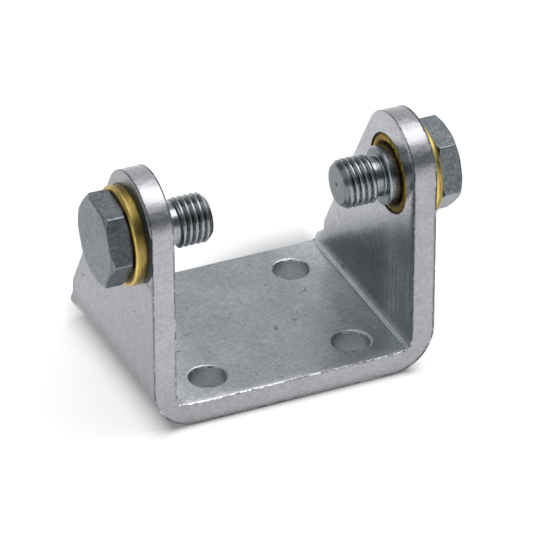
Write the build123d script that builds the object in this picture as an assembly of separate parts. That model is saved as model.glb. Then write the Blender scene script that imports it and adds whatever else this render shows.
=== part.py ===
from build123d import *
from math import acos, atan2, cos, radians, sin, sqrt, tan
import os

# Cylinder trunnion mount: a bent sheet bracket with two flanged bushes and two
# hexagon-head pivot screws that carry a round cylinder between the ears.
# Millimetres. Origin: centre of the four base holes on the underside of the base.
# +Z up, +X along the pivot axis, -Y the straight front edge of the bracket.

# Sheet and base of the bracket
bracket_width = 60.3        # across the outer faces of the two ears
base_depth = 45.7           # front edge to rear edge
sheet = 5.1                 # sheet thickness
outer_bend_radius = 9.2
crease_draw = 0.4           # how far the inner crease stands in from the ear's face
crease_rise = 0.38          # how far the inner crease stands above the base
crease_run = 4.8            # length of the soft curve that leads to the crease
crease_radius = 0.35

# Holes in the base
hole_diameter = 7.5
hole_spacing_x = 31.2
hole_spacing_y = 29.4
hole_front_distance = 7.6   # front edge to the first row
hole_chamfer = 0.3          # softened punched rim

# Ears, seen from the side
pivot_height = 39.4         # underside of the base to the pivot axis
pivot_front_distance = 11.6 # front edge to the pivot axis
ear_top_radius = 11.6
ear_top_overrun = 0.8       # how far the ear's round top, run on, would pass the front edge
ear_top_above = 1.6         # centre of the round top, above the pivot
ear_brow_radius = 8.0       # where the round top meets the straight front edge
ear_rear_step = 3.6         # rear foot of the ear, forward of the base's rear edge
ear_knee_rise = 1.9         # end of the sloping rear edge, above the foot of the ear
ear_knee_radius = 2.5
ear_foot_height = 9.4       # inner face: where the slanting corner down to the base starts
ear_corner_height = 6.5     # inner face: where it reaches the base's rear edge
ear_foot_stretched = 9.6    # the same two heights on the outer face, which the bend stretches
ear_corner_stretched = 3.8
ear_heel_radius = 1.6       # between the ear's rear edge and that corner
edge_rounding = 0.5         # sheared edges on the outside of the bend

# Flanged bushes
bush_diameter = 16.0
flange_diameter = 19.9
flange_thickness = 2.25
flange_chamfer = 0.36
bush_chamfer = 0.3          # inner end of the bush, outside
bush_recess = 0.05          # end of the bush, below the ear's inner face
bush_mouth_chamfer = 0.6    # bore of the bush at its inner end
ear_bore_chamfer = 0.3

# Pivot screws
journal_diameter = 12.0
journal_clearance = 0.05    # radial, journal to bush
journal_stand_out = 2.2     # end of the journal past the ear's inner face
journal_chamfer = 0.3
relief_diameter = 8.0
relief_length = 2.0
thread_diameter = 10.0
thread_length = 6.9
tip_chamfer_radial = 0.95
tip_chamfer_length = 1.2
head_clearance = 0.06       # axial, head to flange
head_across_flats = 16.5
head_height = 4.7
head_chamfer_angle = 30.0
head_face_radius = 8.35

# Sizes that follow from the ones above
front_y = -(hole_front_distance + hole_spacing_y / 2)
rear_y = front_y + base_depth
pivot_y = front_y + pivot_front_distance
ear_top_y = front_y + ear_top_radius - ear_top_overrun
half_width = bracket_width / 2
ear_foot_top = max(ear_foot_height, ear_foot_stretched)
ear_knee_height = ear_foot_top + ear_knee_rise
ear_inner_x = half_width - sheet
flange_outer_x = half_width + flange_thickness
head_inner_x = flange_outer_x + head_clearance
head_outer_x = head_inner_x + head_height
journal_end_x = ear_inner_x - journal_stand_out
relief_end_x = journal_end_x - relief_length
tip_x = relief_end_x - thread_length
thread_radius = thread_diameter / 2
journal_radius = journal_diameter / 2
bore_radius = journal_radius + journal_clearance
bush_radius = bush_diameter / 2
flange_radius = flange_diameter / 2


# U section of the bent sheet, seen from the front, with the soft inner creases
def sheet_section():
    outer = outer_bend_radius
    top = pivot_height + ear_top_above + ear_top_radius + 1
    crease_x = ear_inner_x - crease_draw
    crease_z = sheet + crease_rise
    with BuildSketch(Plane.XZ) as section:
        with BuildLine():
            Line((0, 0), (half_width - outer, 0))
            RadiusArc((half_width - outer, 0), (half_width, outer), -outer)
            Line((half_width, outer), (half_width, top))
            Line((half_width, top), (ear_inner_x, top))
            Line((ear_inner_x, top), (ear_inner_x, crease_z + crease_run))
            TangentArc((ear_inner_x, crease_z + crease_run), (crease_x, crease_z), tangent=(0, -1))
            TangentArc((crease_x - crease_run, sheet), (crease_x, crease_z), tangent=(1, 0))
            Line((crease_x - crease_run, sheet), (0, sheet))
            Line((0, sheet), (0, 0))
        make_face()
        mirror(about=Plane.YZ)
    return section.sketch


# Outline of the bracket seen from the side, as points from the front edge
def side_outline():
    centre_y = ear_top_y
    centre_z = pivot_height + ear_top_above
    radius = ear_top_radius
    reach = centre_y - front_y
    knee_y = rear_y - ear_rear_step
    heel_turn = atan2(ear_rear_step, ear_foot_height - ear_corner_height)
    step_z = ear_foot_top + ear_heel_radius * tan(heel_turn / 2)
    brow = min(ear_brow_radius, reach - 1)
    brow_z = centre_z + sqrt(max(0, (radius - brow)**2 - (reach - brow)**2))
    start = atan2(brow_z - centre_z, brow - reach)
    top_start = (centre_y + radius * cos(start), centre_z + radius * sin(start))
    dy, dz = knee_y - centre_y, ear_knee_height - centre_z
    turn = atan2(dz, dy) + acos(radius / sqrt(dy**2 + dz**2))
    top_end = (centre_y + radius * cos(turn), centre_z + radius * sin(turn))
    middle = (start + turn) / 2
    top_middle = (centre_y + radius * cos(middle), centre_z + radius * sin(middle))
    with BuildSketch(Plane.YZ) as outline:
        with BuildLine():
            Line((front_y, 0), (front_y, brow_z))
            TangentArc((front_y, brow_z), top_start, tangent=(0, 1))
            ThreePointArc(top_start, top_middle, top_end)
            knee = FilletPolyline(top_end, (knee_y, ear_knee_height), (knee_y, step_z),
                                  radius=ear_knee_radius)
            Line(knee @ 1, (rear_y, step_z))
            Line((rear_y, step_z), (rear_y, 0))
            Line((rear_y, 0), (front_y, 0))
        make_face()
    return outline.sketch


# Cutter for the rear corner of the right ear. The blank was cut before it was bent, so the
# cut is steeper on the stretched outer face than on the inner one.
def corner_cutter():
    knee_y = rear_y - ear_rear_step
    start_x = ear_inner_x - crease_draw
    sides = []
    for x in (start_x, half_width + 1):
        share = (x - start_x) / (half_width - start_x)
        foot_z = ear_foot_height + share * (ear_foot_stretched - ear_foot_height)
        corner_z = ear_corner_height + share * (ear_corner_stretched - ear_corner_height)
        far_z = corner_z - (foot_z - corner_z) / ear_rear_step
        high_z = foot_z + sheet
        points = [(knee_y, foot_z), (rear_y + 1, far_z), (rear_y + 1, high_z), (knee_y, high_z)]
        sides.append(make_face(Polyline(*[(x, y, z) for y, z in points], close=True)).face())
    return loft(sides, ruled=True)


# Outline of the outer skin of the bent sheet: the sheared edges all round it
def skin_outline(body):
    edges = []
    for face in body.faces():
        point = face.position_at(0.5, 0.5)
        along = abs(face.normal_at(point).Y) < 1e-6 and face.bounding_box().size.Y > base_depth / 2
        if along and (abs(point.X) > ear_inner_x + 0.3 * sheet or point.Z < 0.7 * sheet):
            edges += face.outer_wire().edges()
    return [e for e in edges if sum(e.is_same(other) for other in edges) == 1]


# Bent sheet bracket with four base holes and two bush bores
def make_bracket():
    body = extrude(sheet_section(), amount=base_depth + 2, both=True)
    body = body & extrude(side_outline(), amount=half_width + 1, both=True)
    cutter = corner_cutter()
    body = body - cutter - mirror(cutter, about=Plane.YZ)
    crease = [e for e in body.edges() if abs(abs(e.center().X) - (ear_inner_x - crease_draw)) < 0.01
              and abs(e.center().Z - sheet - crease_rise) < 0.01]
    body = fillet(crease, crease_radius)
    heels = []
    for edge in body.edges():
        box = edge.bounding_box()
        if abs(edge.center().Y - rear_y + ear_rear_step) + box.size.Y < 1e-3 and box.size.X > 0.7 * sheet:
            heels += [edge] if box.max.Z < ear_knee_height - 0.1 else []
    body = fillet(heels, ear_heel_radius)
    body = fillet(skin_outline(body), edge_rounding)
    for side in (-1, 1):
        bore = Plane(origin=(side * ear_inner_x, pivot_y, pivot_height), x_dir=(0, 1, 0), z_dir=(side, 0, 0))
        body -= bore * Cylinder(bush_radius, sheet * 3)
        body -= bore * Cone(bush_radius + ear_bore_chamfer, bush_radius, ear_bore_chamfer,
                            align=(Align.CENTER, Align.CENTER, Align.MIN))
    for x in (-hole_spacing_x / 2, hole_spacing_x / 2):
        for y in (-hole_spacing_y / 2, hole_spacing_y / 2):
            body -= Pos(x, y, 0) * Cylinder(hole_diameter / 2, sheet * 3)
    rims = [e for e in body.edges().filter_by(GeomType.CIRCLE)
            if abs(e.radius - hole_diameter / 2) < 0.001 and abs(e.center().Z - sheet) < 0.01]
    return chamfer(rims, hole_chamfer)


# Flanged plain bush for the right ear; the flange lies on the ear's outer face
def make_bush():
    inner_x = ear_inner_x + bush_recess
    c = bush_chamfer
    m = bush_mouth_chamfer
    f = flange_chamfer
    with BuildSketch(Plane.XY) as section:
        with BuildLine():
            Polyline(
                (inner_x, bore_radius + m), (inner_x, bush_radius - c), (inner_x + c, bush_radius),
                (half_width, bush_radius), (half_width, flange_radius),
                (flange_outer_x - f, flange_radius), (flange_outer_x, flange_radius - f),
                (flange_outer_x, bore_radius), (inner_x + m, bore_radius),
                (inner_x, bore_radius + m), close=False)
        make_face()
    return Pos(0, pivot_y, pivot_height) * revolve(section.sketch, Axis.X)


# Hexagon head with both faces chamfered, made as a hexagon cut by a turned blank
def screw_head(turn):
    corner = head_across_flats / 2 / cos(radians(30))
    drop = (corner - head_face_radius) * tan(radians(head_chamfer_angle))
    plane = Plane(origin=(head_inner_x, 0, 0), x_dir=(0, 1, 0), z_dir=(1, 0, 0))
    hexagon = extrude(plane * Rot(0, 0, turn) * RegularPolygon(corner, 6), head_height)
    with BuildSketch(Plane.XY) as blank:
        with BuildLine():
            Polyline((head_inner_x, 0), (head_inner_x, head_face_radius), (head_inner_x + drop, corner),
                     (head_outer_x - drop, corner), (head_outer_x, head_face_radius),
                     (head_outer_x, 0), (head_inner_x, 0))
        make_face()
    return hexagon & revolve(blank.sketch, Axis.X)


# Pivot screw for the right ear: head, journal, relief and threaded end
def make_screw(turn):
    j = journal_chamfer
    with BuildSketch(Plane.XY) as section:
        with BuildLine():
            Polyline(
                (tip_x, 0), (tip_x, thread_radius - tip_chamfer_radial),
                (tip_x + tip_chamfer_length, thread_radius), (relief_end_x, thread_radius),
                (relief_end_x + (thread_radius - relief_diameter / 2) / 2, relief_diameter / 2),
                (journal_end_x, relief_diameter / 2), (journal_end_x, journal_radius - j),
                (journal_end_x + j, journal_radius), (head_inner_x + head_height / 2, journal_radius),
                (head_inner_x + head_height / 2, 0), (tip_x, 0))
        make_face()
    shank = revolve(section.sketch, Axis.X)
    return Pos(0, pivot_y, pivot_height) * (shank + screw_head(turn))


# Whole mount: right-hand pieces, and the left-hand ones mirrored
def build():
    right_bush = make_bush()
    pieces = {
        "bracket": make_bracket(),
        "bush_right": right_bush,
        "bush_left": mirror(right_bush, about=Plane.YZ),
        "screw_right": make_screw(132.0),
        "screw_left": mirror(make_screw(126.5), about=Plane.YZ),
    }
    return pieces


parts = build()
os.makedirs("parts", exist_ok=True)
for name, piece in parts.items():
    solid = piece.solid() if not isinstance(piece, Solid) else piece
    solid.label = name
    export_step(solid, "parts/" + name + ".step")
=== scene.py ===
from math import acos, atan2, cos, hypot, pi, radians, sin, sqrt, tan

import bmesh
import bpy
import numpy as np
from mathutils import Matrix, Vector, noise
from mathutils.geometry import delaunay_2d_cdt


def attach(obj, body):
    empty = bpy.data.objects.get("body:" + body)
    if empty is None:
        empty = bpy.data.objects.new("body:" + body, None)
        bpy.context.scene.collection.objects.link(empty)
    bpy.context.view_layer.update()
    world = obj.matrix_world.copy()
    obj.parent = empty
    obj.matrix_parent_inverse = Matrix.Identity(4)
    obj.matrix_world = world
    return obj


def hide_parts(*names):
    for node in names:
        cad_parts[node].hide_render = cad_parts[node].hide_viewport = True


# Cylinder trunnion mount: a bent, plated sheet bracket, two flanged bronze bushes and
# two hexagon-head pivot screws. Sizes are millimetres, as in the solids, and become
# metres when a piece is made.
MM = 0.001

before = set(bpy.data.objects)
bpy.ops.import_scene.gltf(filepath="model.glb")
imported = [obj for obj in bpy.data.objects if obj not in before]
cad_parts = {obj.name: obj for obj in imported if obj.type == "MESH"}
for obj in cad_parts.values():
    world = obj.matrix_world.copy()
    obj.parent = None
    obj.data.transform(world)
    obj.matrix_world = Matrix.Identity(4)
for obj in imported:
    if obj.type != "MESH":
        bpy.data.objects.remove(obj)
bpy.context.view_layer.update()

# Sheet bracket
HALF_WIDTH = 30.15
SHEET = 5.1
FACE_X = HALF_WIDTH - SHEET            # inner faces of the ears
OUTER_BEND = 9.2
CREASE_IN = 0.4
CREASE_UP = 0.38
CREASE_RUN = 4.8
FRONT_Y, REAR_Y = -22.3, 23.4
PIVOT_Y, PIVOT_Z = -10.7, 39.4
EAR_TOP = (-11.5, 41.0, 11.594)         # y, z and radius of the ear's round top
BROW_RADIUS = 8.0                      # where the round top meets the front edge
KNEE_Y, KNEE_Z, KNEE_RADIUS = 19.8, 11.5, 2.5
HEEL_RADIUS = 1.6
CORNER_EASE = 1.1
INNER_FOOT, INNER_CORNER = 9.4, 6.5    # slanting rear corner, on the inner face
OUTER_FOOT, OUTER_CORNER = 8.5, 3.8    # and on the outer face
FLARE = 0.5                            # spread of the bend at its rear end
FLARE_SPAN = (3.5, 16.5)               # where it spreads, along the section from the bend's foot
FLARE_REACH = 6.5                      # and how far forward of the rear edge
FLARE_EASE = (4.5, 5.5, 6.0)           # lengths over which it comes and goes there
HOLE_RADIUS = 3.75
HOLES = [(x, y) for x in (-15.6, 15.6) for y in (-14.7, 14.7)]

# Rims of the sheet: width and depth of what is drawn down on the inner skin, round a hole
# and round a bush, and of the rounding on the outer skin, at an edge and at an opening
HOLE_ROLL, SEAT_ROLL = (0.5, 0.26), (0.32, 0.3)
EDGE_ROLL, EDGE_ROLL_FRONT = (0.75, 0.2), (1.9, 0.14)   # at the edge, and what its front adds
EDGE_ROUND, OPENING_ROUND = (0.42, 0.3), (0.15, 0.15)
RIM_VARIES, RIM_JAG = 0.14, 0.06       # unevenness of that, as a share and in millimetres
FINE = 0.5                             # length of the finest unevenness
EDGE_CROWN = 0.13                      # how far the cut edge's rims lie back from its middle
HOLE_POINTS, SEAT_POINTS = 96, 120     # points round a hole and round a bush's seat

# Bushes and screws, along the pivot axis, on the right-hand side
ROUND = 144                            # points round a turned piece
ROUND_ANGLES = np.linspace(0, 2 * pi, ROUND, endpoint=False)
BUSH_RADIUS, FLANGE_RADIUS, FLANGE_X = 8.0, 9.95, 32.4
BORE_RADIUS, JOURNAL_RADIUS = 6.05, 6.0
BUSH_RECESS, BUSH_EASE, BUSH_MOUTH, FLANGE_EASE = 0.05, 0.3, 0.6, 0.36
JOURNAL_X, RELIEF_X, TIP_X = 22.85, 20.85, 13.95
RELIEF_RADIUS, THREAD_RADIUS, PITCH = 4.0, 5.0, 1.25
THREAD_DEPTH, RUN_OUT = 0.6, 3.5       # RUN_OUT: rise of the last turn above the relief
CREST_UNDER, CREST_POWER = 0.02, 0.8   # crest under the solid's radius; under 1 makes it wider
GROOVE_END, GROOVE_FADE, RUN_OUT_END = 0.1, 0.35, 0.06   # ends and fade, before the relief
THREAD_STEP = 0.0781                   # between rings of the thread, about a sixteenth of a turn
TIP_IN, TIP_ALONG = 0.95, 1.2          # chamfer of the tip, across and along
HEAD_X, HEAD_HEIGHT, ACROSS_FLATS, HEAD_FACE = 32.46, 4.7, 16.5, 8.35
HEAD_END, HEAD_SLOPE = HEAD_X + HEAD_HEIGHT, tan(radians(30))
HEAD_BEVEL = 0.09                      # taken off the corners of the hexagon


# ---------------------------------------------------------------- mesh helpers

# One closed object from points in millimetres; edges sharper than the angle stay crisp
def make_piece(name, points, faces, materials, face_material=None, crisp=38, marks=None):
    mesh = bpy.data.meshes.new(name)
    mesh.from_pydata([[c * MM for c in p] for p in points], [], faces)
    for material in materials:
        mesh.materials.append(material)
    if face_material is not None:
        mesh.polygons.foreach_set("material_index", face_material)
    bm = bmesh.new()
    bm.from_mesh(mesh)
    bmesh.ops.recalc_face_normals(bm, faces=bm.faces)
    for face in bm.faces:
        face.smooth = True
    for edge in bm.edges:
        edge.smooth = len(edge.link_faces) == 2 and edge.calc_face_angle(0) < radians(crisp)
    bm.to_mesh(mesh)
    bm.free()
    for word, values in (marks or {}).items():
        mark = mesh.attributes.new(word, "FLOAT", "POINT")
        mark.data.foreach_set("value", np.asarray(values, np.float32))
    piece = bpy.data.objects.new(name, mesh)
    bpy.context.scene.collection.objects.link(piece)
    return piece


# Quads between rings of equal count; a ring of one point closes an end
def join_rings(rings, materials=None):
    points, faces, kinds, starts = [], [], [], []
    for ring in rings:
        starts.append(len(points))
        points += [tuple(p) for p in ring]
    for i in range(len(rings) - 1):
        a, b = starts[i], starts[i + 1]
        m, n = len(rings[i]), len(rings[i + 1])
        for j in range(max(m, n)):
            k = (j + 1) % max(m, n)
            if m == 1:
                face = (a, b + j, b + k)
            elif n == 1:
                face = (a + j, b, a + k)
            else:
                face = (a + j, b + j, b + k, a + k)
            faces.append(face)
            kinds.append(materials[i] if materials else 0)
    return points, faces, kinds


# Ring about the pivot axis; x and radius are one number each, or one per angle
def axis_ring(x, radius, angles, side):
    xs, radii = np.broadcast_to(x, angles.shape), np.broadcast_to(radius, angles.shape)
    return [(side * px, PIVOT_Y + r * cos(a), PIVOT_Z + r * sin(a)) for px, r, a in zip(xs, radii, angles)]


# Soft step from 0 to 1
def ease(t):
    t = np.clip(t, 0, 1)
    return t * t * (3 - 2 * t)


# ---------------------------------------------------------------- bent sheet

# Fine double step that the tool leaves in the crease: x and z from the crease's corner
FOLD = [(-0.8, -0.15), (-0.62, -0.19), (-0.52, -0.21), (-0.46, -0.195), (-0.38, -0.06), (-0.34, -0.035),
        (-0.2, -0.03), (-0.08, -0.02), (-0.04, 0.0), (0.03, 0.13), (0.05, 0.2), (0.07, 0.3), (0.1, 0.44)]


# Half section of one skin of the sheet: x, z points from the middle of the base upwards
def skin_section(inner):
    top = PIVOT_Z + 16.0               # past the ears' round tops
    if not inner:
        bend = [(HALF_WIDTH - OUTER_BEND + OUTER_BEND * sin(a), OUTER_BEND - OUTER_BEND * cos(a))
                for a in np.linspace(0, pi / 2, 25)]
        return [(0.0, 0.0)] + bend + [(HALF_WIDTH, top)]
    cx, cz = FACE_X - CREASE_IN, SHEET + CREASE_UP

    # arc from a point with a known direction, bowed out to the crease's corner
    def bow(start, direction):
        across, rise = cx - start[0], cz - start[1]
        heading = atan2(direction[1], direction[0])
        turn = 2 * (atan2(rise, across) - heading)
        turn = (turn + pi) % (2 * pi) - pi
        radius = hypot(across, rise) / (2 * sin(turn / 2))
        centre = (start[0] - radius * sin(heading), start[1] + radius * cos(heading))
        return [(centre[0] + radius * sin(heading + turn * t), centre[1] - radius * cos(heading + turn * t))
                for t in np.linspace(0, 1, 14)]

    low = [p for p in bow((cx - CREASE_RUN, SHEET), (1, 0)) if p[0] < cx - 1.0]
    high = [p for p in bow((FACE_X, cz + CREASE_RUN), (0, -1))[::-1] if p[1] > cz + 0.55]
    return [(0.0, SHEET)] + low + [(cx + dx, cz + dz) for dx, dz in FOLD] + high + [(FACE_X, top)]


# One skin of the sheet, unrolled: s runs along the section from the middle, y along the bend
class Skin:
    def __init__(self, inner):
        self.inner = inner
        self.section = np.array(skin_section(inner))
        steps = np.diff(self.section, axis=0)
        lengths = np.hypot(steps[:, 0], steps[:, 1])
        self.s = np.concatenate([[0], np.cumsum(lengths)])
        facing = np.stack([-steps[:, 1], steps[:, 0]], 1) / lengths[:, None]
        if not inner:
            facing = -facing
        at = np.vstack([facing[:1], (facing[1:] + facing[:-1]) / 2, facing[-1:]])
        self.normals = at / np.linalg.norm(at, axis=1)[:, None]

    # unrolled position of a height on the ear or the bend
    def s_at_height(self, z):
        return float(np.interp(z, self.section[1:, 1] + 1e-9 * np.arange(len(self.section) - 1), self.s[1:]))

    # points of the skin, set back into the metal by depth
    def place(self, sy, depth=0.0):
        sy = np.asarray(sy, float)
        s, sign = np.abs(sy[:, 0]), np.where(sy[:, 0] < 0, -1.0, 1.0)
        if not self.inner:
            # the bend spreads a little at its rear end, where no metal holds it
            first, last = FLARE_SPAN
            rise, fall, run = FLARE_EASE
            along = ease((s - self.s[1] - first) / rise) * ease((self.s[1] + last - s) / fall)
            depth = depth - FLARE * along * ease((sy[:, 1] - REAR_Y + FLARE_REACH) / run)
        x, z = np.interp(s, self.s, self.section[:, 0]), np.interp(s, self.s, self.section[:, 1])
        nx, nz = np.interp(s, self.s, self.normals[:, 0]), np.interp(s, self.s, self.normals[:, 1])
        x = np.minimum(x - nx * depth, HALF_WIDTH)
        return np.stack([sign * x, sy[:, 1], z - nz * depth], 1)


# Corner points with a rounding each, as one line with a fixed count of points
def rounded_line(corners, radii, straight, arc):
    line, last = [], np.array(corners[0], float)
    for i in range(1, len(corners) - 1):
        p = np.array(corners[i], float)
        a, b = np.array(corners[i - 1], float) - p, np.array(corners[i + 1], float) - p
        a, b = a / np.linalg.norm(a), b / np.linalg.norm(b)
        half = acos(max(-1.0, min(1.0, float(a @ b)))) / 2
        reach = radii[i - 1] / tan(half)
        start, end = p + a * reach, p + b * reach
        line += [last + (start - last) * t for t in np.linspace(0, 1, straight[i - 1], endpoint=False)]
        # the middle point is drawn in a little from the corner, which comes close to an arc
        line += [(1 - t)**2 * start + 2 * t * (1 - t) * (p * 0.86 + (start + end) * 0.07) + t**2 * end
                 for t in np.linspace(0, 1, arc, endpoint=False)]
        last = end
    line += [last + (np.array(corners[-1]) - last) * t for t in np.linspace(0, 1, straight[-1])]
    return line


# Evenly spaced points of a line between two distances, the second taken from its end
def stretch_of(line, start, end, count):
    line = np.array(line)
    run = np.concatenate([[0], np.cumsum(np.hypot(*np.diff(line, axis=0).T))])
    at = np.linspace(start, run[-1] - end, count)
    return np.stack([np.interp(at, run, line[:, 0]), np.interp(at, run, line[:, 1])], 1)


# Outline of one skin, unrolled, all round it: front edge, right ear, rear edge, left ear
def sheet_outline(skin):
    y0, z0, radius = EAR_TOP
    reach = y0 - FRONT_Y
    brow_z = z0 + sqrt((radius - BROW_RADIUS)**2 - (reach - BROW_RADIUS)**2)
    first = atan2(brow_z - z0, BROW_RADIUS - reach)
    dy, dz = KNEE_Y - y0, KNEE_Z - z0
    last = atan2(dz, dy) + acos(radius / hypot(dy, dz))
    bend_top = skin.s_at_height(SHEET + CREASE_UP + CREASE_RUN if skin.inner else OUTER_BEND)
    bend_foot = float(skin.s[1])
    foot, corner = (INNER_FOOT, INNER_CORNER) if skin.inner else (OUTER_FOOT, OUTER_CORNER)

    half = [(s, FRONT_Y) for s in np.linspace(0, bend_foot, 110, endpoint=False)]
    half += [(s, FRONT_Y) for s in np.linspace(bend_foot, bend_top, 70, endpoint=False)]
    half += [(s, FRONT_Y) for s in np.linspace(bend_top, skin.s_at_height(brow_z), 170, endpoint=False)]
    half += [(skin.s_at_height(brow_z + BROW_RADIUS * sin(a)), FRONT_Y + BROW_RADIUS - BROW_RADIUS * cos(a))
             for a in np.linspace(0, pi - first, 24, endpoint=False)]
    half += [(skin.s_at_height(z0 + radius * sin(a)), y0 + radius * cos(a))
             for a in np.linspace(first, last, 110, endpoint=False)]
    top_end = (y0 + radius * cos(last), z0 + radius * sin(last))
    slant_count = 24
    rear = rounded_line([top_end, (KNEE_Y, KNEE_Z), (KNEE_Y, foot), (REAR_Y, corner)],
                        [KNEE_RADIUS, HEEL_RADIUS], [120, 4, slant_count], 10)
    rear = [(skin.s_at_height(z), y) for y, z in rear]
    half += rear[:-slant_count]
    # the rear corner of the ear, slightly rounded
    slant = stretch_of(rear[-slant_count:], 0, CORNER_EASE, 16)
    corner_s = skin.s_at_height(corner)
    edge = stretch_of([(corner_s, REAR_Y), (bend_foot, REAR_Y)], CORNER_EASE, 0, 40)
    tip = np.array([corner_s, REAR_Y])
    eased = [(1 - t)**2 * slant[-1] + 2 * t * (1 - t) * tip + t**2 * edge[0]
             for t in np.linspace(0, 1, 10)[1:-1]]
    foot_line = [(s, REAR_Y) for s in np.linspace(bend_foot, 0, 90)[1:]]
    whole = np.vstack([half, slant, eased, edge, foot_line])
    left = whole[1:-1][::-1] * np.array([-1.0, 1.0])
    return np.vstack([whole, left])


# Round opening in one skin, unrolled, run the other way so that the metal stays on its left
def round_opening(s, y, radius, count):
    angles = -np.linspace(0, 2 * pi, count, endpoint=False)
    return np.stack([s + radius * np.cos(angles), y + radius * np.sin(angles)], 1)


# Loop moved towards the metal, which lies on its left
def set_in(loop, distance):
    back, ahead = loop - np.roll(loop, 1, 0), np.roll(loop, -1, 0) - loop
    back /= np.linalg.norm(back, axis=1)[:, None]
    ahead /= np.linalg.norm(ahead, axis=1)[:, None]
    n0, n1 = np.stack([-back[:, 1], back[:, 0]], 1), np.stack([-ahead[:, 1], ahead[:, 0]], 1)
    mean = n0 + n1
    mean /= np.linalg.norm(mean, axis=1)[:, None]
    stretch = 1 / np.clip((mean * n1).sum(1), 0.5, 1)
    return loop + mean * (stretch * distance)[:, None]


# Smooth unevenness along a loop, from -1 to 1, that closes on itself
def uneven(points, size, seed):
    return np.array([noise.noise(Vector(p) / size + Vector((seed, 0, 0))) for p in points])


# Which points lie within a loop
def inside(points, loop):
    hit = np.zeros(len(points), bool)
    x, y = points[:, 0], points[:, 1]
    for (x0, y0), (x1, y1) in zip(loop, np.roll(loop, -1, 0)):
        crosses = (y0 > y) != (y1 > y)
        if crosses.any():
            hit ^= crosses & (x < (x1 - x0) * (y - y0) / (y1 - y0 + 1e-300) + x0)
    return hit


# Flat triangulation of an unrolled skin between its loops, with points enough for the bend
def fill_skin(skin, loops):
    grid_s = list(skin.s[1:-1]) + list(np.linspace(0, skin.s[1], 13)[:-1])
    grid_s += list(np.linspace(skin.s[-2], skin.s[-1], 24)[1:-1])
    grid_s = np.array(sorted(set([round(v, 6) for v in grid_s] + [-round(v, 6) for v in grid_s])))
    grid_y = np.linspace(FRONT_Y, REAR_Y, 28)[1:-1]
    grid = np.array([(s, y) for s in grid_s for y in grid_y])
    clear = 0.35                       # free of grid points beside each loop
    keep = inside(grid, set_in(loops[0], clear))
    for hole in loops[1:]:
        keep &= ~inside(grid, set_in(hole, clear))
    grid = grid[keep]
    points = np.vstack(list(loops) + [grid])
    edges, start = [], 0
    for loop in loops:
        n = len(loop)
        edges += [(start + i, start + (i + 1) % n) for i in range(n)]
        start += n
    found = delaunay_2d_cdt([Vector(p) for p in points], edges, [], 0, 1e-7)
    origin = [o[0] if o else -1 for o in found[3]]
    centres = np.array([np.mean([found[0][v] for v in f], axis=0) for f in found[2]])
    good = inside(centres, loops[0])
    for hole in loops[1:]:
        good &= ~inside(centres, hole)
    faces = [tuple(origin[v] for v in f) for f, ok in zip(found[2], good) if ok]
    return grid, faces


# How a rim is drawn down: share of its width from the rim, and share of its depth
ROLL = [(1.0, 0.0), (0.75, 0.035), (0.54, 0.115), (0.37, 0.235), (0.24, 0.37), (0.14, 0.51), (0.07, 0.64),
        (0.03, 0.76)]
# The same for the rounding on to the outer skin, and the steps of the cut face between them
OUTER_ROLL = [(0.1, 0.45), (0.3, 0.16), (0.62, 0.04), (1.0, 0.0), (1.2, 0.0)]
CUT_STEPS = (0.03, 0.12, 0.24, 0.36, 0.5, 0.64, 0.76, 0.88, 0.97)


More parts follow.
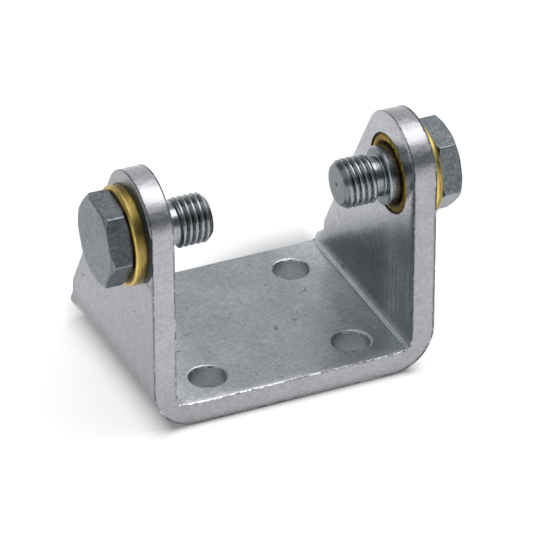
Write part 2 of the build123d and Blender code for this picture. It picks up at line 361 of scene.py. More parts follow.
# Bracket from its two unrolled skins and the cut edges between them
def make_bracket(materials):
    inner, outer = Skin(True), Skin(False)
    loops, fill = {}, {inner: [], outer: []}
    for k in (inner, outer):
        ear_s = k.s_at_height(PIVOT_Z)
        loops[k] = [sheet_outline(k)]
        loops[k] += [round_opening(x, y, HOLE_RADIUS, HOLE_POINTS) for x, y in HOLES]
        loops[k] += [round_opening(side * ear_s, PIVOT_Y, BUSH_RADIUS, SEAT_POINTS) for side in (-1, 1)]
    points, faces, kinds = [], [], []
    # marks for the finish: the rims, where the burr's dark specks and painted glints go, painted shade in the
    # gap round each bush, and the steps of the fold, which get a painted highlight
    rim, gap, fold = [], [], []
    for index, (loop_in, loop_out) in enumerate(zip(loops[inner], loops[outer])):
        is_edge, is_seat = index == 0, index > len(HOLES)
        at, at_out = inner.place(loop_in), outer.place(loop_out)
        n = len(loop_in)
        # round a bush's seat the drawn-down rim is painted nearly black: painted shade in the gap between bush
        # and ear
        wall, seat_shade_on = (0, 1.0) if is_seat else (1, 0.0)
        rough = 0.15 if is_seat else 1.0
        fine, coarse = uneven(at, FINE, 8.7), uneven(at, 2.6, 3.1)
        if is_edge:
            # drawn down most along the front, and there more on the base than up the ears
            front = ease((4 - at[:, 1]) / 12) * (0.55 + 0.45 * ease((9 - at[:, 2]) / 5))
            width, depth = (least + more * front for least, more in zip(EDGE_ROLL, EDGE_ROLL_FRONT))
        else:
            width, depth = SEAT_ROLL if is_seat else HOLE_ROLL
        width = np.broadcast_to(width, (n,)) * (1 + rough * RIM_VARIES * coarse)
        depth = np.broadcast_to(depth, (n,)) * (1 + rough * RIM_VARIES * coarse)
        jag = rough * fine * RIM_JAG

        # rings from the inner skin over the rim: points, material, rim mark and the mark of the painted shade
        # round a bush's seat
        inwards = set_in(loop_in, 1.0) - loop_in
        start_in = loop_in + inwards * (width * 1.04 + 0.04)[:, None]
        rings = [(inner.place(start_in), 0, 0.0, 0.0)]
        for share, drop in ROLL:
            reach = width * share + 0.07 + jag * max(0.0, 1 - share * 3)
            rings.append((inner.place(loop_in + inwards * reach[:, None], depth * drop), 0,
                          max(0.0, 1 - share * 16), seat_shade_on if share < 0.8 else 0.0))
        reach = np.maximum(0.0, 0.03 + jag)
        rings.append((inner.place(loop_in + inwards * reach[:, None], depth * 0.9), 0, 1.0, seat_shade_on))
        rings.append((inner.place(loop_in, depth + 0.05 + rough * 0.03 * fine), wall, 1.0, seat_shade_on))

        # the cut face, slightly uneven, and crowned across the thickness at the edge
        out = inner.place(loop_in - inwards * 0.5) - at
        out /= np.linalg.norm(out, axis=1)[:, None]
        burr = 1 + rough * (0.25 * uneven(at_out, 1.9, 23.0) + 0.3 * uneven(at_out, FINE, 31.0))
        width_out, depth_out = EDGE_ROUND if is_edge else OPENING_ROUND
        crown = EDGE_CROWN if is_edge else 0.0
        top, foot = rings[-1][0], outer.place(loop_out, depth_out * burr)
        for t in CUT_STEPS:
            ring = top + (foot - top) * t
            if not is_seat:
                swell = 0.03 * uneven(ring, 1.6, 60.0) + 0.012 * uneven(ring, FINE, 71.0)
                sink = np.maximum(0.0, 0.02 + crown * abs(2 * t - 1)**2.4 - swell)
                ring = ring - out * sink[:, None]
            rings.append((ring, wall, 0.5 if t in (CUT_STEPS[0], CUT_STEPS[-1]) else 0.0, 0.0))
        rings.append((foot, wall, 0.9, 0.0))

        # the rounding on to the outer skin
        inwards = set_in(loop_out, 1.0) - loop_out
        for share, drop in OUTER_ROLL:
            end_out = loop_out + inwards * (width_out * share * burr)[:, None]
            rings.append((outer.place(end_out, depth_out * drop * burr), 0, 0.6 * max(0.0, 1 - share * 4), 0.0))

        start = len(points)
        for i, (ring, kind, rim_share, dark) in enumerate(rings):
            a, b = start + (i - 1) * n, start + i * n
            points += [tuple(p) for p in ring]
            rim += [rim_share] * n
            gap += [dark] * n
            fold += [0.0] * n
            if i:
                faces += [(a + j, b + j, b + (j + 1) % n, a + (j + 1) % n) for j in range(n)]
                kinds += [kind] * n
        fill[inner].append((start, start_in))
        fill[outer].append((start + (len(rings) - 1) * n, end_out))
    for k in (inner, outer):
        grid, found = fill_skin(k, [loop for _, loop in fill[k]])
        lookup = [v for start, loop in fill[k] for v in range(start, start + len(loop))]
        lookup += range(len(points), len(points) + len(grid))
        points += [tuple(p) for p in k.place(grid)]
        rim += [0.0] * len(grid)
        gap += [0.0] * len(grid)
        # the steep faces of the fold's double step are marked for a painted highlight
        steep = np.interp(np.abs(grid[:, 0]), k.s, k.normals[:, 1])
        fold += list(1.0 * (k.inner & (steep > 0.25) & (steep < 0.93)))
        faces += [tuple(lookup[v] for v in f) for f in found]
        kinds += [0] * len(found)
    return make_piece("bracket_sheet", points, faces, materials, kinds,
                      marks={"rim": rim, "gap": gap, "fold": fold})


# ---------------------------------------------------------------- turned pieces

# Outline of a turned piece (x, radius) with its corners softened by small roundings
def softened(outline, closed=False, reach=0.06):
    outline = [np.array(p, float) for p in outline]
    n = len(outline)
    line = [] if closed else [outline[0]]
    for i in range(0 if closed else 1, n if closed else n - 1):
        p, a, b = outline[i], outline[i - 1], outline[(i + 1) % n]
        r = min(reach, np.linalg.norm(a - p) * 0.3, np.linalg.norm(b - p) * 0.3)
        a, b = p + (a - p) / np.linalg.norm(a - p), p + (b - p) / np.linalg.norm(b - p)
        start, end = p + (a - p) * r, p + (b - p) * r
        line += [p + (a - p) * r * 1.9, start, (start + end + 2 * p) / 4, end, p + (b - p) * r * 1.9]
    return line if closed else line + [outline[-1]]


# Flanged bush: rings of the turned outline, closed on itself
def make_bush(name, side, material):
    inner_x = FACE_X + BUSH_RECESS
    outline = softened([
        (inner_x, BORE_RADIUS + BUSH_MOUTH), (inner_x, BUSH_RADIUS - BUSH_EASE),
        (inner_x + BUSH_EASE, BUSH_RADIUS), (HALF_WIDTH, BUSH_RADIUS), (HALF_WIDTH, FLANGE_RADIUS),
        (FLANGE_X - FLANGE_EASE, FLANGE_RADIUS), (FLANGE_X, FLANGE_RADIUS - FLANGE_EASE),
        (FLANGE_X, BORE_RADIUS), (inner_x + BUSH_MOUTH, BORE_RADIUS)], closed=True)
    rings = [axis_ring(x, r, ROUND_ANGLES, side) for x, r in outline]
    points, faces, _ = join_rings(rings + [rings[0]])
    last = len(outline) * ROUND
    faces = [tuple(v - last if v >= last else v for v in face) for face in faces]
    return make_piece(name, points[:last], faces, [material], crisp=80)


# Radius of the threaded end at x and each angle: round crests and narrow roots
def thread_radius(x, angles):
    turns = (x - TIP_X) / PITCH - angles / (2 * pi)
    depth = THREAD_DEPTH * (1 - np.sin((turns - np.floor(turns)) * pi)**CREST_POWER)
    fade = ease((RELIEF_X - GROOVE_END - x) / GROOVE_FADE)
    chamfer = THREAD_RADIUS - TIP_IN + (x - TIP_X) * TIP_IN / TIP_ALONG
    run_out = RELIEF_RADIUS + max(0.0, RELIEF_X - RUN_OUT_END - x) * RUN_OUT
    return np.minimum(np.minimum(THREAD_RADIUS - CREST_UNDER - depth * fade, chamfer), run_out)


# Angles and radii round the hexagon, with narrow bevels on its upright edges
def hexagon_points(turn):
    inside_side = [0.0, 1.0, 1.6] + list(np.linspace(3.5, 56.5, 19)) + [58.4, 59.0]
    angles = np.radians([60 * k + a for k in range(6) for a in inside_side])
    across = angles % (pi / 3) - pi / 6
    radius = ACROSS_FLATS / 2 / np.cos(across)
    return angles + radians(turn), np.minimum(radius, ACROSS_FLATS / 2 / cos(pi / 6) - HEAD_BEVEL)


# Steps over the rim between a flat and a chamfer cone: in from the flat, along the head
RIM_STEPS = ((0.13, 0.0), (0.06, 0.0), (0.0, 0.06), (0.0, 0.14), (0.0, 0.5))


# Pivot screw: tip, thread, relief, journal and chamfered hexagon head; its materials are
# turned, hexagon and faced steel
def make_screw(name, side, turn, materials):
    turned, rolled, faced = 0, 1, 2
    round_angles = ROUND_ANGLES + radians(turn)
    hex_angles, hexagon = hexagon_points(turn)
    rings, kinds = [[(side * (TIP_X + 0.16), PIVOT_Y, PIVOT_Z)]], [faced]

    def add(x, radius, kind, angles=round_angles):
        rings.append(axis_ring(x, radius, angles, side))
        kinds.append(kind)

    # tip with a small centre mark and a turned groove
    for r, x in ((0.25, 0.14), (0.55, 0.03), (0.7, 0.0), (1.6, 0.0), (1.75, 0.015), (1.9, 0.0), (3.0, 0.0),
                 (THREAD_RADIUS - 1.1, 0.0), (THREAD_RADIUS - 1.0, 0.01)):
        add(TIP_X + x, r, faced)
    add(TIP_X + 0.05, THREAD_RADIUS - TIP_IN, turned)
    for x in np.arange(TIP_X + 0.12, RELIEF_X + 0.02, THREAD_STEP):
        add(x, thread_radius(x, round_angles), turned)
    neck = softened([
        (RELIEF_X + 0.1, RELIEF_RADIUS), (JOURNAL_X - 0.16, RELIEF_RADIUS),
        (JOURNAL_X, RELIEF_RADIUS + 0.16), (JOURNAL_X, JOURNAL_RADIUS - 0.3), (JOURNAL_X + 0.3, JOURNAL_RADIUS),
        (HEAD_X, JOURNAL_RADIUS)])
    for x, r in neck:
        shoulder = x <= JOURNAL_X + 0.01 and RELIEF_RADIUS + 0.12 < r < JOURNAL_RADIUS - 0.35
        add(x, r, faced if shoulder else turned)
    kinds[-1] = rolled

    # how far a chamfer cone lies back at a radius; the six flats cut both cones
    def cone(radius):
        return np.maximum(radius - HEAD_FACE, 0) * HEAD_SLOPE

    for face, less in ((0.0, 0.2), (0.05, 0.15)):
        r = np.minimum(HEAD_FACE + face, hexagon - less)
        add(HEAD_X + cone(r), r, rolled, hex_angles)
    for less, more in RIM_STEPS:
        add(HEAD_X + cone(hexagon - less) + more, hexagon - less, rolled, hex_angles)
    for less, more in RIM_STEPS[::-1]:
        add(HEAD_END - cone(hexagon - less) - more, hexagon - less, rolled, hex_angles)
    for face, less in ((0.09, 0.15), (0.0, 0.19), (-0.09, 0.23)):
        r = np.minimum(HEAD_FACE + face, hexagon - less)
        add(HEAD_END - cone(r) - (0.006 if face == 0 else 0), r, rolled, hex_angles)
    for r, x in ((7.2, 0.0), (5.6, 0.0), (4.0, 0.0), (2.6, 0.0), (1.7, 0.008), (1.0, 0.03), (0.5, 0.045)):
        add(HEAD_END - x, r, rolled)
    rings.append([(side * (HEAD_END - 0.05), PIVOT_Y, PIVOT_Z)])
    points, faces, face_kinds = join_rings(rings, kinds)
    return make_piece(name, points, faces, materials, face_kinds, crisp=80)


# ---------------------------------------------------------------- finishes

# Node tree helper: sockets by name, links by reference
class Tree:
    def __init__(self, tree):
        self.tree = tree

    def node(self, kind, **values):
        made = self.tree.nodes.new(kind)
        for key, value in values.items():
            if key.startswith("_"):
                setattr(made, key[1:], value)
            else:
                made.inputs[key.replace("_", " ")].default_value = value
        return made

    def link(self, source, target):
        self.tree.links.new(source, target)

    # value or socket into a socket
    def feed(self, source, target):
        if isinstance(source, (int, float, tuple)):
            target.default_value = source
        else:
            self.link(source, target)

    def maths(self, operation, a, b=0.0):
        made = self.tree.nodes.new("ShaderNodeMath")
        made.operation = operation
        self.feed(a, made.inputs[0])
        self.feed(b, made.inputs[1])
        return made.outputs[0]

    def vector(self, operation, a, b):
        made = self.tree.nodes.new("ShaderNodeVectorMath")
        made.operation = operation
        self.feed(a, made.inputs[0])
        self.feed(b, made.inputs["Scale"] if operation == "SCALE" else made.inputs[1])
        return made.outputs["Vector"]

    def plus(self, a, b):
        return self.maths("ADD", a, b)

    def minus(self, a, b):
        return self.maths("SUBTRACT", a, b)

    def times(self, product, *others):
        for other in others:
            product = self.maths("MULTIPLY", product, other)
        return product

    # value carried from one range to another, clipped to it
    def span(self, value, from_low, from_high, low=0.0, high=1.0, smooth=False):
        made = self.tree.nodes.new("ShaderNodeMapRange")
        made.interpolation_type = "SMOOTHSTEP" if smooth else "LINEAR"
        for i, v in enumerate((value, from_low, from_high, low, high)):
            self.feed(v, made.inputs[i])
        return made.outputs[0]

    # the same for a length, with the first range in millimetres
    def zone(self, length, from_low, from_high, low=0.0, high=1.0, smooth=False):
        return self.span(length, from_low * MM, from_high * MM, low, high, smooth)

    def noise(self, where, scale, detail=3.0, roughness=0.55):
        made = self.node("ShaderNodeTexNoise", Detail=detail)
        self.feed(where, made.inputs["Vector"])
        self.feed(scale, made.inputs["Scale"])
        self.feed(roughness, made.inputs["Roughness"])
        return made.outputs[0]

    # place on the piece, whole and as its three lengths
    def where(self):
        return self.node("ShaderNodeTexCoord").outputs["Object"]

    def xyz(self):
        parts = self.node("ShaderNodeSeparateXYZ")
        self.link(self.where(), parts.inputs[0])
        return parts.outputs[0], parts.outputs[1], parts.outputs[2]

    # y and z measured from the pivot axis
    def from_pivot(self, y, z):
        return self.minus(y, PIVOT_Y * MM), self.minus(z, PIVOT_Z * MM)

    # values that the mesh carries under a name
    def carried(self, word):
        return self.node("ShaderNodeAttribute", _attribute_name=word).outputs["Fac"]


# New shared effect with named inputs and outputs
def effect(name, inputs, outputs):
    group = bpy.data.node_groups.new(name, "ShaderNodeTree")
    for word, value in inputs:
        kind = "NodeSocketVector" if isinstance(value, tuple) else "NodeSocketFloat"
        group.interface.new_socket(word, in_out="INPUT", socket_type=kind).default_value = value
    for word in outputs:
        group.interface.new_socket(word, in_out="OUTPUT", socket_type="NodeSocketFloat")
    tree = Tree(group)
    return group, tree, tree.node("NodeGroupInput").outputs, tree.node("NodeGroupOutput").inputs


# Soft blotches of tone, as plating and handled steel have
def mottle_effect():
    group, t, ins, outs = effect(
        "Mottled tone", [("Scale", 200.0), ("Dark", 0.8), ("Light", 1.1), ("Softness", 0.5)], ["Tone"])
    cloud = t.noise(t.where(), ins["Scale"], 5.0, ins["Softness"])
    t.link(t.span(cloud, 0.32, 0.68, ins["Dark"], ins["Light"]), outs["Tone"])
    return group


# Fine lines in one direction, as rolling leaves them
def rolled_effect():
    group, t, ins, outs = effect("Rolling lines", [("Stretch", (1.0, 1.0, 1.0)), ("Scale", 1000.0)], ["Height"])
    pulled = t.vector("MULTIPLY", t.where(), ins["Stretch"])
    t.link(t.span(t.noise(pulled, ins["Scale"]), 0.3, 0.7), outs["Height"])
    return group


# Distance from the pivot axis, and lines that run round it, as turning leaves them
def turned_effect():
    group, t, ins, outs = effect("Turning lines", [("Scale", 3000.0), ("Blur", 0.03)], ["Height", "Distance"])
    x, y, z = t.xyz()
    y, z = t.from_pivot(y, z)
    distance = t.maths("SQRT", t.plus(t.times(y, y), t.times(z, z)))
    track = t.node("ShaderNodeCombineXYZ")
    t.link(t.plus(x, distance), track.inputs[0])
    t.link(t.times(y, ins["Blur"]), track.inputs[1])
    t.link(t.times(z, ins["Blur"]), track.inputs[2])
    t.link(t.span(t.noise(track.outputs[0], ins["Scale"], 2.0), 0.3, 0.7), outs["Height"])
    t.link(distance, outs["Distance"])
    return group


# Short curved scratches and small pits from handling
def scuff_effect():
    group, t, ins, outs = effect("Handling scuffs", [("Scale", 90.0), ("Amount", 0.5)], ["Scratch", "Pit"])
    where, scale = t.where(), ins["Scale"]
    # a scratch is a thin line where one noise passes its middle, shown where another is high
    wander = t.maths("ABSOLUTE", t.minus(t.noise(where, scale, 1.5, 0.4), 0.5))
    line = t.span(wander, 0.003, 0.011, 1.0, 0.0)
    few = t.minus(0.66, t.times(ins["Amount"], 0.12))
    here = t.span(t.noise(where, t.times(scale, 2.7), 1.0), few, t.plus(few, 0.05))
    t.link(t.times(line, here), outs["Scratch"])
    # a pit is the middle of a cell, shown in patches
    cells = t.node("ShaderNodeTexVoronoi")
    t.link(where, cells.inputs["Vector"])
    t.link(t.times(scale, 6.0), cells.inputs["Scale"])
    middle = t.span(cells.outputs["Distance"], 0.06, 0.2, 1.0, 0.0)
    here = t.span(t.noise(where, t.times(scale, 1.7), 2.0), 0.5, 0.6)
    t.link(t.times(middle, here), outs["Pit"])
    return group


# Marks along a sheared rim: dark specks up the ears, and bright flecks along the base that are painted glints
# standing in for highlights on the burr; little of either where the rim meets the table
def burr_and_glint_effect():
    group, t, ins, outs = effect("Burr specks and painted glints", [("Rim", 0.0)], ["Nick", "Painted glint"])
    where = t.where()
    height = t.xyz()[2]
    patch = t.plus(t.times(t.noise(where, 420.0, 2.0), 0.55), t.times(t.noise(where, 1700.0, 2.0), 0.45))
    edge = t.span(ins["Rim"], 0.25, 0.8)
    nick = t.span(t.plus(patch, t.zone(height, 6, 9, 0.0, 0.09)), 0.47, 0.56)
    t.link(t.times(edge, nick, t.zone(height, 1, 3, 0.35, 1.0)), outs["Nick"])
    fleck = t.times(t.span(patch, 0.52, 0.44), t.zone(height, 6, 9, 1.0, 0.25))
    t.link(t.times(edge, fleck, t.zone(height, 2, 4.5, 0.15, 1.0)), outs["Painted glint"])
    return group


MOTTLE, ROLLED, TURNED = mottle_effect(), rolled_effect(), turned_effect()
SCUFF, BURR_AND_GLINTS = scuff_effect(), burr_and_glint_effect()


# New material, with plain values set on its Principled shader: material, tree and shader
def new_material(name, **values):
    material = bpy.data.materials.new(name)
    material.use_nodes = True
    skin = next(n for n in material.node_tree.nodes if n.type == "BSDF_PRINCIPLED")
    for key, value in values.items():
        skin.inputs[key.replace("_", " ")].default_value = value
    return material, Tree(material.node_tree), skin


# Metal under construction: its tree, its shader and a running product of tones
class Metal:
    def __init__(self, name, colour):
        self.material, self.t, self.skin = new_material(name, Metallic=1.0)
        self.colour, self.tones, self.tinted, self.normal = colour, None, None, None

    def use(self, group, **values):
        made = self.t.tree.nodes.new("ShaderNodeGroup")
        made.node_tree = group
        for key, value in values.items():
            self.t.feed(value, made.inputs[key])
        return made.outputs

    # blotches from 0 to 1
    def mottle(self, scale, softness=0.5):
        return self.use(MOTTLE, Scale=scale, Dark=0.0, Light=1.0, Softness=softness)["Tone"]

    def tone(self, value):
        self.tones = value if self.tones is None else self.t.times(self.tones, value)

    # tone that follows a value of 0 to 1
    def vary(self, value, low, high):
        self.tone(self.t.span(value, 0.0, 1.0, low, high))

    # tone where the mask is 1, and none where it is 0
    def stain(self, mask, tone):
        self.vary(mask, 1.0, tone)

    # other colour where the mask is 1, as a share of the first
    def tint(self, mask, share):
        change = self.t.vector("SCALE", tuple(v - 1.0 for v in share), mask)
        self.tinted = self.t.vector("ADD", change, (1.0, 1.0, 1.0))

    # relief of the surface, its depth in millimetres
    def bump(self, height, strength, depth):
        made = self.t.node("ShaderNodeBump", Strength=strength, Distance=depth * MM)
        self.t.link(height, made.inputs["Height"])
        if self.normal:
            self.t.link(self.normal, made.inputs["Normal"])
        self.normal = made.outputs["Normal"]

    def done(self, roughness):
        shown = self.t.vector("SCALE", self.colour, self.tones)
        if self.tinted:
            shown = self.t.vector("MULTIPLY", shown, self.tinted)
        self.t.link(shown, self.skin.inputs["Base Color"])
        self.t.link(roughness, self.skin.inputs["Roughness"])
        self.t.link(self.normal, self.skin.inputs["Normal"])
        return self.material


# Bright zinc-plated skin of the rolled sheet
def plated_finish():
    m = Metal("Plated sheet skin", (0.398, 0.403, 0.423))
    t = m.t
    x, y, z = t.xyz()
    across = t.maths("ABSOLUTE", x)
    outside = t.zone(across, HALF_WIDTH - 0.6, HALF_WIDTH - 0.3)
    inner_side = t.minus(1.0, outside)
    grain, cloud = m.mottle(1500.0, 0.75), m.mottle(150.0)
    rolled = m.use(ROLLED, Stretch=(1.0, 1.0, 0.12), Scale=1900.0)["Height"]
    scuff = m.use(SCUFF, Scale=150.0, Amount=0.75)
    m.vary(grain, 0.78, 1.2)
    m.vary(m.mottle(420.0), 0.94, 1.05)
    m.vary(cloud, 0.94, 1.05)
    m.vary(rolled, 0.96, 1.04)
    m.stain(scuff["Scratch"], 0.55)
    m.stain(m.use(SCUFF, Scale=270.0, Amount=0.9)["Scratch"], 0.78)
    m.stain(scuff["Pit"], 0.6)
    # the outer faces painted a little darker than the inner ones: painted shade
    m.stain(outside, 0.87)
    # painted highlight on the steps of the fold, painted shade in the gap round each bush, and the burr's dark
    # specks and painted glints
    fold = t.carried("fold")
    m.tone(t.span(fold, 0.3, 1.0, 1.0, 1.6))
    m.stain(t.carried("gap"), 0.06)
    burr = m.use(BURR_AND_GLINTS, Rim=t.carried("rim"))
    m.stain(burr["Nick"], 0.33)
    m.stain(burr["Painted glint"], 2.3)
    # painted shadow of the flange on the ear, in front of it and above, where the ear is also rougher
    axis = m.use(TURNED, Scale=3000.0)["Distance"]
    back, up = t.from_pivot(y, z)
    ahead = t.maths("DIVIDE", t.plus(t.times(back, -0.88), t.times(up, 0.47)), axis)
    reach = t.span(ahead, 0.3, 0.85, FLANGE_RADIUS * MM, (FLANGE_RADIUS + 2.5) * MM)
    ring = t.span(axis, reach, t.plus(reach, 0.3 * MM), 1.0, 0.0)
    thick = t.times(t.span(ahead, 0.35, 0.95, 0.7, 1.0), t.zone(z, PIVOT_Z - 7.1, PIVOT_Z - 6.6))
    painted_flange_shadow = t.times(ring, outside, thick)
    m.tint(painted_flange_shadow, (0.15, 0.2, 0.21))
    # painted shade on the outside of the bends, down to where they meet the table
    bend = t.maths("MAXIMUM", t.zone(across, FACE_X + 0.35, FACE_X + 0.75), t.zone(z, SHEET - 0.3, SHEET - 0.5))
    m.stain(t.times(bend, t.zone(z, 11, 4)), 0.42)
    # upright streaks rubbed bright on the inner faces of the ears, near the front
    streak = m.use(ROLLED, Stretch=(1.0, 1.0, 0.05), Scale=1100.0)["Height"]
    rubbed = t.times(t.zone(y, -6, -12), t.zone(z, 7, 10), t.zone(z, 27, 20), inner_side)
    m.stain(t.times(rubbed, t.span(streak, 0.35, 0.8)), 1.55)
    # painted light: the base is lightened against the ears, most of all beside the creases, where shade falls
    base = t.times(t.zone(z, 7.5, 5.5), inner_side)
    m.stain(base, t.zone(across, 13, 23, 1.17, 1.75))
    # painted reflection: low on their inner faces the ears are darkened, below a line that slants down to the
    # rear, where they mirror the base
    slope = 0.686
    below = t.minus(t.minus((SHEET + slope * REAR_Y) * MM, z), t.times(y, slope))
    foot = t.times(t.zone(below, 0, 2), t.zone(y, -14, -6, smooth=True), inner_side, t.zone(z, 6, 7.5))
    m.stain(foot, 0.64)
    m.bump(rolled, 0.1, 0.02)
    m.bump(grain, 0.25, 0.04)
    m.bump(scuff["Scratch"], 0.4, 0.05)
    rough = t.span(t.plus(t.times(grain, 0.5), t.times(cloud, 0.5)), 0.0, 1.0, 0.19, 0.31)
    for mask, more in ((base, 0.14), (outside, 0.12), (fold, 0.2), (painted_flange_shadow, 0.25)):
        rough = t.plus(rough, t.times(mask, more))
    return m.done(rough)


# Sheared edge of the sheet: pale, speckled, with dark specks and painted glints along its rims
def sheared_finish():
    m = Metal("Sheared edge", (0.452, 0.441, 0.462))
    t = m.t
    x, y, z = t.xyz()
    speckle, cloud = m.mottle(1500.0, 0.75), m.mottle(320.0)
    m.vary(speckle, 0.78, 1.14)
    m.vary(cloud, 0.95, 1.04)
    m.stain(m.use(SCUFF, Scale=130.0, Amount=0.3)["Pit"], 0.7)
    burr = m.use(BURR_AND_GLINTS, Rim=t.carried("rim"))
    m.stain(burr["Nick"], 0.36)
    # painted glints along the rims
    m.stain(burr["Painted glint"], 1.8)
    # painted shading: along the base the edge is darker at its ends, up the ears a little paler on the left
    along = t.minus(t.zone(x, -28, 8, 0.84, 0.97), t.zone(x, 18, 28, 0.0, 0.09))
    m.tone(t.zone(z, 3, 16, along, t.zone(x, -20, 20, 1.04, 0.94)))
    # painted light: paler over the rear half of the round tops
    m.stain(t.times(t.zone(y, -15, -11), t.zone(z, 40, 46)), 1.22)
    # painted light: the walls inside the holes are lightened, towards a bluish grey
    hole = t.times(t.zone(t.maths("ABSOLUTE", x), 20, 21, 1.0, 0.0),
                   t.zone(t.maths("ABSOLUTE", y), 19.5, 20, 1.0, 0.0))
    m.tint(hole, (1.32, 1.42, 1.42))
    m.bump(speckle, 0.35, 0.04)
    m.bump(cloud, 0.2, 0.08)
    return m.done(t.span(speckle, 0.0, 1.0, 0.3, 0.42))


# Dull rolled steel of the hexagon heads, faced across the end
def hexagon_finish():
    m = Metal("Dull hexagon steel", (0.213, 0.230, 0.245))
    t = m.t
    across = t.maths("ABSOLUTE", t.xyz()[0])
    grain, cloud = m.mottle(1500.0, 0.7), m.mottle(240.0)
    drawn = m.use(ROLLED, Stretch=(0.12, 1.0, 1.0), Scale=2600.0)["Height"]
    turned = m.use(TURNED, Scale=1500.0, Blur=0.5)
    m.vary(grain, 0.6, 1.36)
    m.vary(cloud, 0.92, 1.06)
    m.vary(drawn, 0.86, 1.12)
    m.vary(turned["Height"], 0.96, 1.04)
    m.stain(m.use(SCUFF, Scale=110.0, Amount=0.3)["Scratch"], 0.8)
    # the end is duller than the flats, and darkest at its middle
    m.tone(t.zone(across, HEAD_END - 0.4, HEAD_END - 0.2, 1.0, 0.78))
    m.tone(t.zone(turned["Distance"], 0.2, 1.6, 0.84, 1.0, True))
    m.bump(drawn, 0.15, 0.02)
    m.bump(grain, 0.2, 0.03)
    return m.done(t.span(cloud, 0.0, 1.0, 0.30, 0.42))


# Turned steel: bright on the journal, neck and thread, duller where it is faced across
def turned_finish(name, colour, low, high, blur):
    m = Metal(name, colour)
    t = m.t
    across = t.maths("ABSOLUTE", t.xyz()[0])
    turned = m.use(TURNED, Scale=2400.0, Blur=blur)
    cloud, grain = m.mottle(500.0), m.mottle(1700.0, 0.7)
    m.vary(turned["Height"], 0.84, 1.12)
    m.vary(cloud, 0.86, 1.07)
    m.vary(grain, 0.9, 1.08)
    # painted shade in the roots of the thread
    thread = t.times(t.zone(across, TIP_X + 0.05, TIP_X + 0.15),
                     t.zone(across, RELIEF_X - 0.35, RELIEF_X - 0.15, 1.0, 0.0))
    root = t.zone(turned["Distance"], THREAD_RADIUS - 0.5, THREAD_RADIUS - 0.15, 1.0, 0.0)
    m.stain(t.times(thread, root), 0.62)
    m.bump(turned["Height"], 0.3, 0.02)
    m.bump(grain, 0.15, 0.03)
    return m.done(t.span(cloud, 0.0, 1.0, low, high))


# Bronze of the flanged bushes, dark and stained on the end inside the ear, with painted shade beside the
# journal
def bronze_finish():
    m = Metal("Bush bronze", (0.74, 0.53, 0.135))
    t = m.t
    across = t.maths("ABSOLUTE", t.xyz()[0])
    end = t.zone(across, HALF_WIDTH - 1.5, HALF_WIDTH - 2.5)
    face = t.zone(across, FLANGE_X - 0.2, FLANGE_X - 0.05)
    turned = m.use(TURNED, Scale=1150.0, Blur=0.06)
    cloud, grain = m.mottle(380.0), m.mottle(1300.0, 0.7)
    m.tone(t.span(turned["Height"], 0.2, 0.8, 0.5, 1.2))
    m.vary(cloud, 0.76, 1.12)
    m.vary(grain, 0.82, 1.14)
    # painted shade beside the journal, in the gap between bush and screw, broken up further out
    journal_shade = t.zone(t.minus(turned["Distance"], t.times(grain, 1.2 * MM)), BORE_RADIUS + 0.1, BORE_RADIUS + 0.6,
                  1.0, 0.0)
    m.stain(t.times(end, journal_shade), 0.3)
    m.stain(t.times(end, t.span(grain, 0.35, 0.65)), 0.42)
    m.tint(end, (0.8, 0.74, 0.5))
    # the flange's face: painted light at its edge, and painted shadow beside the head
    m.stain(face, t.zone(turned["Distance"], FLANGE_RADIUS - 1.0, FLANGE_RADIUS - 0.4, 0.3, 1.2))
    m.bump(turned["Height"], 0.35, 0.03)
    t.link(t.span(end, 0.0, 1.0, 0.35, 0.0), m.skin.inputs["Coat Weight"])
    m.skin.inputs["Coat Roughness"].default_value = 0.3
    rough = t.span(cloud, 0.0, 1.0, 0.36, 0.48)
    return m.done(t.plus(rough, t.times(t.maths("MAXIMUM", end, face), 0.2)))


plated_skin, sheared_edge, bronze = plated_finish(), sheared_finish(), bronze_finish()
hexagon_steel = hexagon_finish()
turned_steel = turned_finish("Turned steel", (0.37, 0.39, 0.4), 0.16, 0.3, 0.04)
faced_steel = turned_finish("Faced steel", (0.205, 0.218, 0.226), 0.3, 0.42, 0.3)

# ---------------------------------------------------------------- pieces

bracket = make_bracket([plated_skin, sheared_edge])
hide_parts("bracket")
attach(bracket, "mount")

for side, word, turn in ((-1, "left", 126.5), (1, "right", 132.0)):
    bush = make_bush("bush_" + word + "_turned", side, bronze)
    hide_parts("bush_" + word)
    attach(bush, "mount")
    screw = make_screw("screw_" + word + "_turned", side, turn, [turned_steel, hexagon_steel, faced_steel])
    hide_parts("screw_" + word)
    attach(screw, word + "_screw")


# ---------------------------------------------------------------- table, light and camera

def flat_sheet(name, corners, material):
    mesh = bpy.data.meshes.new(name)
    mesh.from_pydata(corners, [], [tuple(range(len(corners)))])
    mesh.materials.append(material)
    sheet = bpy.data.objects.new(name, mesh)
    bpy.context.scene.collection.objects.link(sheet)
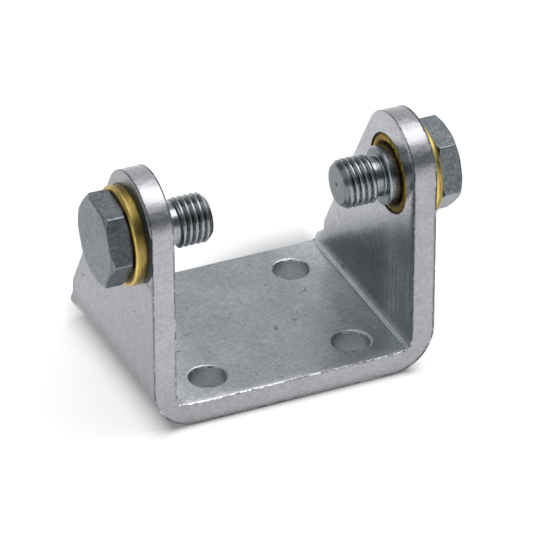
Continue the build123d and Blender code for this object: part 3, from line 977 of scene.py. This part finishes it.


# White paper that stays white where it is seen or mirrored; the white fades towards the mount, so that the
# shadow around it remains, and the shape of the fade paints much of that shadow; a little white stays under the
# mount, as painted light seen through the holes
def paper(name, strength):
    material, t, skin = new_material(name, Base_Color=(0.44, 0.44, 0.44, 1), Roughness=0.8,
                                     Specular_IOR_Level=0.0, Emission_Color=(1, 1, 1, 1))
    x, y, _ = t.xyz()
    # where the painted shadow starts on each side, and how far it reaches; behind the base it starts later and
    # reaches further on the right
    left_start, left_reach = (4.25 - HALF_WIDTH) * MM, 7.6 * MM
    right_start = t.zone(y, REAR_Y, REAR_Y + 6, (HALF_WIDTH - 6) * MM, (HALF_WIDTH - 3.8) * MM)
    right_reach = 6 * MM
    front_start, front_reach = FRONT_Y * MM, t.zone(t.maths("ABSOLUTE", x), 22, 34, 2.2 * MM, 5 * MM, True)
    rear_start = t.zone(x, -6, 20, (REAR_Y + 1.6) * MM, (REAR_Y + 6.8) * MM, True)
    rear_reach = t.zone(x, -14, 20, 9 * MM, 14 * MM, True)
    squares = []
    for beyond, reach in ((t.minus(left_start, x), left_reach), (t.minus(x, right_start), right_reach),
                          (t.minus(front_start, y), front_reach), (t.minus(y, rear_start), rear_reach)):
        share = t.maths("MAXIMUM", t.maths("DIVIDE", beyond, reach), 0.0)
        squares.append(t.times(share, share))
    left, right, front, rear = squares
    near = t.span(t.maths("SQRT", t.plus(t.plus(left, right), t.plus(front, rear))), 0.0, 1.0, 1.0, 0.0)
    glow = t.span(t.times(near, near), 0.0, 1.0, strength, strength * 0.25)
    ray = t.node("ShaderNodeLightPath").outputs
    seen = t.maths("MAXIMUM", ray["Is Camera Ray"], ray["Is Glossy Ray"])
    seen = t.maths("MAXIMUM", seen, ray["Is Transmission Ray"])
    t.link(t.times(glow, seen), skin.inputs["Emission Strength"])
    return material


# Grey card of one even brightness
def grey_card(name, colour):
    return new_material(name, Base_Color=(0, 0, 0, 1), Roughness=1.0, Specular_IOR_Level=0.0,
                        Emission_Color=(*colour, 1), Emission_Strength=1.0)[0]


# Part of the studio wall, between two bearings and two heights seen from the part
def wall_card(name, from_bearing, to_bearing, low, high, material, distance=2.2):
    steps = max(1, round((to_bearing - from_bearing) / 11))
    for i in range(steps):
        a = radians(from_bearing + (to_bearing - from_bearing) * i / steps)
        b = radians(from_bearing + (to_bearing - from_bearing) * (i + 1) / steps)
        corners = []
        for bearing, rise in ((a, low), (b, low), (b, high), (a, high)):
            flat = distance * cos(radians(rise))
            corners.append((flat * sin(bearing), flat * cos(bearing), distance * sin(radians(rise))))
        flat_sheet(name + "_" + str(i), corners, material)


white_paper = paper("White paper", 0.76)
flat_sheet("table", [(-4, -4, 0), (4, -4, 0), (4, 4, 0), (-4, 4, 0)], white_paper)
wall_card("backdrop", -180, 180, 0, 9, white_paper, 3.9)
wall_card("card_front", 110, 250, 14, 52, grey_card("Dark card", (0.13, 0.158, 0.162)))
wall_card("card_front_low", 110, 250, 9, 14, grey_card("Dim card", (0.24, 0.268, 0.275)))
wall_card("card_rear_left", -62, -4, 17, 58, grey_card("Soft grey card", (0.228, 0.282, 0.276)))

world = bpy.data.worlds.new("Studio")
bpy.context.scene.world = world
world.use_nodes = True
world.node_tree.nodes["Background"].inputs["Color"].default_value = (0.58, 0.61, 0.62, 1)
world.node_tree.nodes["Background"].inputs["Strength"].default_value = 1.0

# Soft box above the mount, a little to its right
box_place, box_aim, box_radiance = Vector((0.38, 0.0, 1.2)), Vector((0, 0, 0.02)), 2.65
box = bpy.data.lights.new("overhead_box", "AREA")
box.shape = "RECTANGLE"
box.size, box.size_y = 0.85, 1.1
box.energy = pi * 0.85 * 1.1 * box_radiance
lamp = bpy.data.objects.new("overhead_box", box)
bpy.context.scene.collection.objects.link(lamp)
lamp.location = box_place
lamp.rotation_euler = (box_aim - box_place).to_track_quat("-Z", "Y").to_euler()

# Camera at the photograph's angle
bearing, height, roll = radians(-23.8432), radians(32.1459), radians(-0.1302)
aim, distance = Vector((0.0000228, -0.0081959, 0.0227960)), 0.8996805
back = Vector((sin(bearing) * cos(height), -cos(bearing) * cos(height), sin(height)))
right = Vector((cos(bearing), sin(bearing), 0))
up = back.cross(right)
right, up = right * cos(roll) + up * sin(roll), up * cos(roll) - right * sin(roll)
camera_data = bpy.data.cameras.new("camera")
camera_data.lens = 309.172
camera_data.sensor_width = 36.0
camera_data.clip_start, camera_data.clip_end = 0.05, 50
camera = bpy.data.objects.new("camera", camera_data)
bpy.context.scene.collection.objects.link(camera)
facing = Matrix((right, up, back)).transposed().to_4x4()
camera.matrix_world = Matrix.Translation(aim + back * distance) @ facing
bpy.context.scene.camera = camera
bpy.context.scene.view_settings.view_transform = "Standard"
